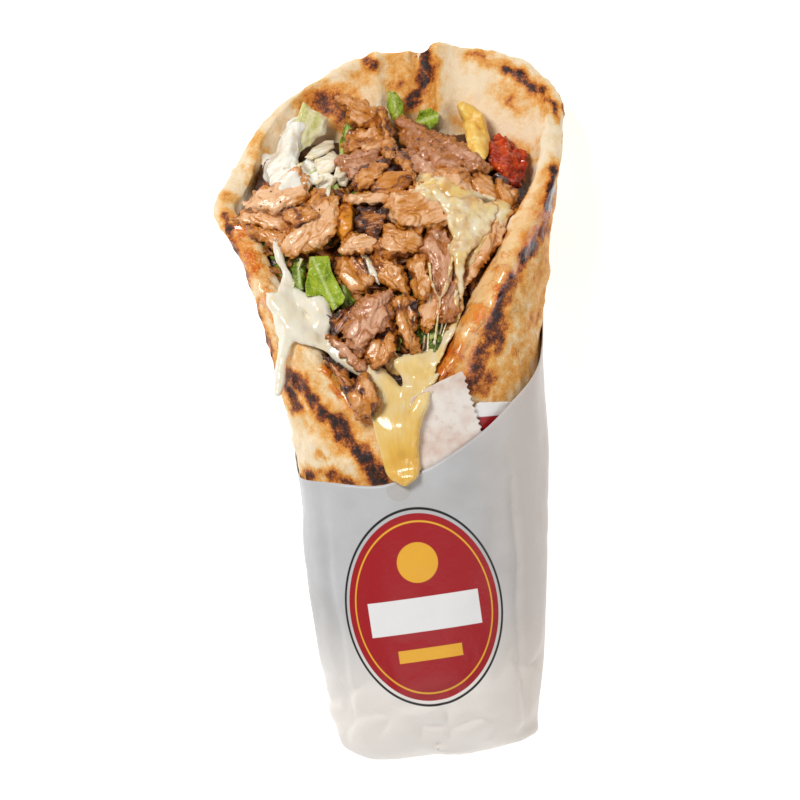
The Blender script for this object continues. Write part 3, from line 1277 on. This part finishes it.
ONIONS, GREEN_ONION = 6, 1
LEAVES, DARK_LEAVES = 9, (5, 7, 8, 9)  # the dark ones lie deep in the filling
for number in range(1, ONIONS + 1):
    slice_of = make_soft_piece(f"onion_{number}", f"onion_slice_{number}", 0.4, 2, 6, 0.45, number)
    finish(slice_of, green_onion if number == GREEN_ONION else onion, "onion", f"onion_{number}")
for number in range(1, LEAVES + 1):
    green = dark_lettuce if number in DARK_LEAVES else lettuce
    finish(make_leaf(number), green, "lettuce", f"lettuce_{number}")
finish(make_soft_piece("potato_fry", "french_fry", 0.5, 5, 5, 0.4, 4), fry, "potato", "potato_fry")
finish(make_soft_piece("golden_bit", "fried_pepper", 0.5, 5, 5, 0.5, 5), pepper,
       "yellow_pepper", "golden_bit")
finish(make_soft_piece("tomato_relish", "tomato_pieces", 0.4, 3, 4.5, 2.2, 6), relish,
       "tomato", "tomato_relish")
finish(make_soft_piece("white_sauce", "yoghurt", 0.5, 14, 9, 1.2, 7), sauce, "sauce", "white_sauce")

# %% [markdown]
# ## Loose shreds, torn leaves and slivers
#
# Small shreds and torn bits of lettuce fill the gaps between the large pieces, and slivers of onion lie
# by the sauce. They repeat and follow a surface, so Geometry Nodes make them: a tree strews a few torn
# shapes over the part of a surface that was painted for it. The result is turned into a plain mesh and
# the modifier is dropped, because the export keeps no instances.

# %% Geometry Nodes that strew shapes over a surface
def new_tree(name, inputs):
    """A geometry tree with these named inputs, and its input node."""
    tree = bpy.data.node_groups.new(name, "GeometryNodeTree")
    tree.interface.new_socket("Geometry", in_out="OUTPUT", socket_type="NodeSocketGeometry")
    tree.interface.new_socket("Geometry", in_out="INPUT", socket_type="NodeSocketGeometry")
    for label, kind, value in inputs:
        tree.interface.new_socket(label, in_out="INPUT", socket_type=kind).default_value = value
    return tree, add(tree, "NodeGroupInput").outputs


def end_tree(tree, geometry, material):
    """Ends a tree: real faces in place of instances, with their material."""
    real = add(tree, "GeometryNodeRealizeInstances", {"Geometry": geometry}).outputs[0]
    coloured = add(tree, "GeometryNodeSetMaterial", {"Geometry": real, "Material": material}).outputs[0]
    add(tree, "NodeGroupOutput", {"Geometry": coloured})


def named_value(tree, name):
    """A value that was painted on the points of the mesh that the tree runs on."""
    return add(tree, "GeometryNodeInputNamedAttribute", {"Name": name}, data_type="FLOAT").outputs[0]


def strewing_tree(name, shapes, material):
    """Strews a collection's shapes over the painted part of a surface, turned and sized at random."""
    inputs = [("Density", "NodeSocketFloat", 1000.0), ("Smallest", "NodeSocketFloat", 0.5),
              ("Largest", "NodeSocketFloat", 1.0), ("Tilt", "NodeSocketFloat", 0.5),
              ("Seed", "NodeSocketInt", 1)]
    tree, given = new_tree(name, inputs)
    density = sums(tree, named_value(tree, "strewn"), given["Density"], "MULTIPLY")
    spots = add(tree, "GeometryNodeDistributePointsOnFaces",
                {"Mesh": given["Geometry"], "Density": density, "Seed": given["Seed"]})
    tilt = add(tree, "FunctionNodeRandomValue", {0: (-1.0, -1.0, -3.14), 1: (1.0, 1.0, 3.14),
                                                 "Seed": given["Seed"]}, data_type="FLOAT_VECTOR").outputs[0]
    most = add(tree, "ShaderNodeCombineXYZ", {0: given["Tilt"], 1: given["Tilt"], 2: 1.0}).outputs[0]
    leaned = add(tree, "ShaderNodeVectorMath", {0: tilt, 1: most}, operation="MULTIPLY").outputs[0]
    turned_by = add(tree, "FunctionNodeRotateEuler", {"Rotation": spots.outputs["Rotation"],
                                                      "Rotate By": leaned}, space="LOCAL").outputs[0]
    grown = add(tree, "FunctionNodeRandomValue", {2: given["Smallest"], 3: given["Largest"],
                                                  "Seed": given["Seed"]}, data_type="FLOAT").outputs[1]
    source = add(tree, "GeometryNodeCollectionInfo", {"Collection": shapes, "Separate Children": True,
                                                      "Reset Children": True}).outputs[0]
    strewn = add(tree, "GeometryNodeInstanceOnPoints",
                 {"Points": spots.outputs["Points"], "Instance": source, "Pick Instance": True,
                  "Rotation": turned_by, "Scale": grown}).outputs[0]
    end_tree(tree, strewn, material)
    return tree


def grow(name, surface, tree, **values):
    """Runs a tree on a surface's mesh, and keeps the result as a plain mesh in a new piece."""
    piece = bpy.data.objects.new(name, surface)
    bpy.context.scene.collection.objects.link(piece)
    modifier = piece.modifiers.new("grow", "NODES")
    modifier.node_group = tree
    for item in tree.interface.items_tree:
        if item.in_out == "INPUT" and item.name in values:
            modifier[item.identifier] = values[item.name]
    keep_result(piece)
    return piece


# %% Torn shapes to strew
BIT_SHAPES = 6
SHAPE_STEP = 7.1  # moves the noise to another place for each shape
BIT_BEND = 0.25  # how much a bit's ends curl up


def torn_bits(name, count, size_mm, rough, seed):
    """A collection of a few torn bits about this size, each of a few dozen faces."""
    group = bpy.data.collections.new(name)
    for i in range(count):
        work = bmesh.new()
        bmesh.ops.create_icosphere(work, subdivisions=2, radius=0.5)
        for vertex in work.verts:
            torn = 1 + rough * noise.noise(vertex.co * 3 + Vector((i * SHAPE_STEP, seed, 0)))
            bent = BIT_BEND * vertex.co.x ** 2
            vertex.co = Vector([c * s * MM * torn for c, s in zip(vertex.co, size_mm)])
            vertex.co.z += bent * size_mm[2] * MM
        mesh = bpy.data.meshes.new(f"{name}_{i}")
        work.to_mesh(mesh)
        work.free()
        group.objects.link(bpy.data.objects.new(f"{name}_{i}", mesh))
    return group


def drop(group):
    """Removes the shapes that were strewn, which are only patterns."""
    for item in list(group.objects):
        bpy.data.objects.remove(item)
    bpy.data.collections.remove(group)


print("Shapes to a set of bits:", BIT_SHAPES)

# %% Loose bits in the gaps
SAUCE_AT = (-27, 107)  # where the onion slivers lie
BED_Z = 30  # below this height in mm no bits lie on the filling


def bed(share, lift_mm):
    """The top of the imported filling, lifted and painted with how thickly bits may lie at each place."""
    surface = bpy.data.objects["packed_chicken"].data.copy()
    points = vectors_of(surface, "co") / MM
    up = vectors_of(surface, "normal")[:, 2]
    points[:, 2] += lift_mm
    surface.vertices.foreach_set("co", (points * MM).ravel())
    share_here = share(points[:, 0], points[:, 1])
    paint_mesh(surface, "strewn", smooth(up, 0.3, 0.7) * (points[:, 2] > BED_Z) * share_here)
    return surface


def all_over(x, y):
    """Everywhere behind the V, where the cheese doesn't hide the filling."""
    return smooth(y, 44, 50) + 0 * x


def beside_sauce(x, y):
    """A patch next to the white sauce."""
    return bump(x - SAUCE_AT[0], 7) * bump(y - SAUCE_AT[1], 9)


def bit_material(name, *colours):
    """Small torn or ground bits: a few colours from patch to patch, with a wet, fibrous surface."""
    material, tree, shader, place = new_material(name, 0.3)
    patch = grain(tree, place, 3, 4)
    fibre = grain(tree, place, 0.7, 4)
    share = swayed(tree, 0.5, (patch, 2.2), (fibre, 0.8))
    stops = [(i / (len(colours) - 1), code) for i, code in enumerate(colours)]
    tree.links.new(ramp(tree, share, *stops), shader.inputs["Base Color"])
    relief(tree, shader, fibre, 0.4, 0.8)
    return material


def strew(name, surface, size_mm, torn, seed, slot, material, **values):
    """Strews torn bits of this size over a surface, as one piece."""
    bits = torn_bits(f"{name}_bit", BIT_SHAPES, size_mm, torn, seed)
    piece = grow(name, surface, strewing_tree(f"strew_{name}", bits, material), Seed=seed, **values)
    drop(bits)
    finish(piece, material, slot)


strew("small_shreds", bed(all_over, 1.6), (9, 3.6, 1.8), 1.1, 5, "chicken_browned",
      bit_material("torn_chicken_bits", "#dc9e5c", "#aa6820", "#6a340f", "#2a1207"),
      Density=52000.0, Smallest=0.45, Largest=1.15, Tilt=0.6)
strew("lettuce_bits", bed(all_over, 1.2), (8, 5, 0.8), 0.9, 11, "lettuce",
      bit_material("torn_lettuce", "#a9bf3c", "#5f7d16", "#2c420a"),
      Density=12000.0, Smallest=0.5, Largest=1.0, Tilt=0.5)
strew("onion_slivers", bed(beside_sauce, 7.5), (8, 3.4, 1.1), 0.7, 7, "onion",
      bit_material("translucent_onion", "#fffbee", "#f3e6c6", "#dfd0a0", "#c3c07a"),
      Density=45000.0, Smallest=0.5, Largest=1.0, Tilt=0.7)

# %% [markdown]
# ## Films of melted cheese and sauce
#
# Where cheese melted over the meat it lies as a thin film that follows what is below it, with a ragged
# edge and holes where the meat pokes through. Rays cast down find the meat's height over a grid. Those
# heights are evened out, as a stretched film is, and raised by a thickness that is painted with strokes
# and broken by noise. The thin sauce that ran down the bread's wall is made in the same way.

# %% Films over the meat and the bread
CHEESE_FILM = [
    (5, 1, (12, 101), (18, 98), (23, 92), (25, 86), (23, 79)),
    (4.5, .95, (22, 95), (29, 93), (35, 90)),
    (3.6, .9, (31, 91), (28, 83), (22, 75)),
    (2, .8, (20, 74), (19, 66), (18, 60)),
    (4, .9, (-4, 40), (2, 39), (8, 40)),
]
SAUCE_FILM = [
    (4, .9, (-34, 127), (-37, 119), (-41, 113)),
    (4.5, 1, (-42, 116), (-41, 112), (-37, 109)),
    (3, .7, (-30, 113), (-28, 108)),
]
FILM_STEP = 0.5
FILM_MM = 2.2  # how much higher a full film lies than a bare place
FILM_SKIN_MM = 1.4
FILM_FROM = 0.35  # there is film where its share is over this
RAY_START = 0.2  # metres, above everything


def film_share(strokes, x, y):
    """How much film there is over each place, from 0 to about 1."""
    ragged = fractal(np.stack([x, y, 0 * x], -1).reshape(-1, 3), 5, 3, 31).reshape(x.shape)
    return brushed(x, y, strokes, 1.1) + 0.35 * ragged


def heights_over(pieces, x, y):
    """The height in mm of the topmost of some pieces, over each place."""
    work = bmesh.new()
    for piece in pieces:
        work.from_mesh(piece.data)
    surface = BVHTree.FromBMesh(work)
    work.free()
    down = Vector((0, 0, -1))
    starts = [Vector((a * MM, b * MM, RAY_START)) for a, b in zip(x.ravel(), y.ravel())]
    hits = [surface.ray_cast(start, down)[0] for start in starts]
    return np.array([hit.z / MM if hit else 0 for hit in hits]).reshape(x.shape)


def evened(heights, passes):
    """Heights pulled towards their neighbours, and up more than down."""
    rows, columns = heights.shape
    for _ in range(passes):
        edged = np.pad(heights, 1, mode="edge")
        near = np.mean([edged[i:i + rows, j:j + columns] for i in range(3) for j in range(3)], axis=0)
        heights = 0.5 * near + 0.5 * np.maximum(heights, near)
    return heights


def make_film(name, strokes, corners, carriers):
    """A film along these strokes, over the pieces whose names start with one of the carriers' names."""
    (x0, y0), (x1, y1) = corners
    x, y = np.meshgrid(np.arange(x0, x1, FILM_STEP), np.arange(y0, y1, FILM_STEP))
    below = [o for o in bpy.data.objects if o.name.startswith(carriers)]
    share = film_share(strokes, x, y)
    z = evened(heights_over(below, x, y), 4) + FILM_MM * (share - 0.5)
    kept = share > FILM_FROM
    cells = kept[:-1, :-1] & kept[1:, :-1] & kept[:-1, 1:] & kept[1:, 1:]
    columns = x.shape[1]
    starts = [int(r) * columns + int(c) for r, c in zip(*np.nonzero(cells))]
    faces = [(k, k + 1, k + columns + 1, k + columns) for k in starts]
    mesh = bpy.data.meshes.new(name)
    mesh.from_pydata((np.stack([x, y, z], -1).reshape(-1, 3) * MM).tolist(), [], faces)
    piece = bpy.data.objects.new(name, mesh)
    bpy.context.scene.collection.objects.link(piece)
    solid = piece.modifiers.new("solid", "SOLIDIFY")
    solid.thickness = FILM_SKIN_MM * MM
    remeshed(piece, 0.45, 3)
    points = points_of(piece)
    edge = 1 - smooth(film_share(strokes, points[:, 0], points[:, 1]), 0.4, 0.95)
    paint(piece, "yellow", 0.3 + 0.3 * fractal(points, 6, 2, 9))
    paint(piece, "thin", 0.35 + 0.5 * edge + 0.7 * fractal(points, 5, 3, 19))
    paint_place(piece, pulled_place(points))
    return piece


meat = ("chicken_shred", "small_shreds", "packed_chicken")
finish(make_film("cheese_film", CHEESE_FILM, ((-12, 30), (42, 110)), meat), cheese_finish, "cheese")
wall = ("naan_bread", "yoghurt", "chicken_shred", "onion", "packed_chicken", "lettuce_leaf")
finish(make_film("sauce_film", SAUCE_FILM, ((-55, 95), (-18, 135)), wall), sauce, "sauce")

# %% [markdown]
# ## Hairs of cheese
#
# Where the meat was lifted, the melt drew out into hairs between the V and the sheet. A hair follows a
# line that sags, so a tree draws a round tube along each line, as thick as the line's points say: thin in
# the middle and flared where it joins the melt.

# %% Hairs of cheese
FILL_FRONT_Z, FILL_SLOPE = 60, 0.34  # the filling's height at the V, and how it falls towards the mouth
HEAP_MM, HEAP_Y = 8, 75  # how high the filling is heaped, and where most
HAIR_MM, FLARE_MM = 0.22, 0.5  # half thicknesses, and how much more at the ends


def fill_top(x, y):
    """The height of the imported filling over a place, in mm, as in the CAD."""
    heap = HEAP_MM * bump(x, 40) * bump(y - HEAP_Y, 45)
    return FILL_FRONT_Z - FILL_SLOPE * (y - FRONT_Y) + heap - 0.06 * max(0, y - 105) ** 2


# Each hair: where it starts and ends, seen from above with its lift over the filling, and how far it sags.
HAIRS = [
    ((8, 43, 2), (17, 80, 11), 2.0), ((6, 42, 3), (10, 72, 9), 1.5), ((4, 41, 3), (13, 84, 9), 2.5),
    ((9, 44, 2), (20, 76, 10), 1.5), ((2, 41, 4), (-3, 56, 7), 1.0), ((0, 40, 4), (3, 58, 7), 1.0),
    ((10, 45, 2), (18, 64, 8), 1.0), ((-2, 40, 4), (-8, 50, 6), 0.8), ((-38, 70, 3), (-34, 80, 6), 0.5),
    ((-30, 52, 2), (-22, 60, 5), 0.6),
]
HAIR_STEPS = 16


def hair_lines():
    """The hairs' lines as a mesh of edges, with each point's half thickness in metres."""
    vertices, edges, half = [], [], []
    for start, end, sag in HAIRS:
        for i in range(HAIR_STEPS + 1):
            t = i / HAIR_STEPS
            x, y, lift = (a + (b - a) * t for a, b in zip(start, end))
            if i:
                edges.append((len(vertices) - 1, len(vertices)))
            z = (1 - t) * fill_top(*start[:2]) + t * fill_top(*end[:2]) + lift - sag * math.sin(math.pi * t)
            vertices.append((x * MM, y * MM, z * MM))
            half.append((HAIR_MM + FLARE_MM * abs(2 * t - 1) ** 3) * MM)
    mesh = bpy.data.meshes.new("hair_lines")
    mesh.from_pydata(vertices, edges, [])
    paint_mesh(mesh, "half_thickness", half)
    return mesh


def tube_tree(name, material):
    """Draws a round tube along each line, as thick as its points say."""
    tree, given = new_tree(name, [("Sides", "NodeSocketInt", 8)])
    line = add(tree, "GeometryNodeMeshToCurve", {"Mesh": given["Geometry"]}).outputs[0]
    half = named_value(tree, "half_thickness")
    ring = add(tree, "GeometryNodeCurvePrimitiveCircle",
               {"Resolution": given["Sides"], "Radius": 1.0}).outputs[0]
    tube = add(tree, "GeometryNodeCurveToMesh",
               {"Curve": line, "Profile Curve": ring, "Scale": half, "Fill Caps": True})
    end_tree(tree, tube.outputs[0], material)
    return tree


hairs = grow("cheese_hairs", hair_lines(), tube_tree("draw_hairs", cheese_finish), Sides=8)
paint(hairs, "yellow", np.full(len(hairs.data.vertices), 0.15))
paint_place(hairs, points_of(hairs))
finish(hairs, cheese_finish, "cheese")

# %% [markdown]
# ## Flecks of spice
#
# Ground chilli and dried herb stick to the roasted meat as flecks of about a millimetre. The same tree
# that strewed the loose bits strews them over the shreds, on the faces that look up.

# %% Flecks of spice
def meat_surface():
    """The shreds of chicken as one mesh, painted where flecks stick: on the faces that look up."""
    work = bmesh.new()
    for item in bpy.data.objects:
        if item.name.startswith("chicken_shred"):
            work.from_mesh(item.data)
    mesh = bpy.data.meshes.new("meat_surface")
    work.to_mesh(mesh)
    work.free()
    paint_mesh(mesh, "strewn", smooth(vectors_of(mesh, "normal")[:, 2], 0.2, 0.7))
    return mesh


strew("spice_flecks", meat_surface(), (1.0, 0.7, 0.4), 0.6, 3, "chicken_browned",
      bit_material("dried_chilli_and_herb", "#a3401a", "#5a220e", "#2f240e"),
      Density=9000.0, Smallest=0.3, Largest=0.9, Tilt=0.3)
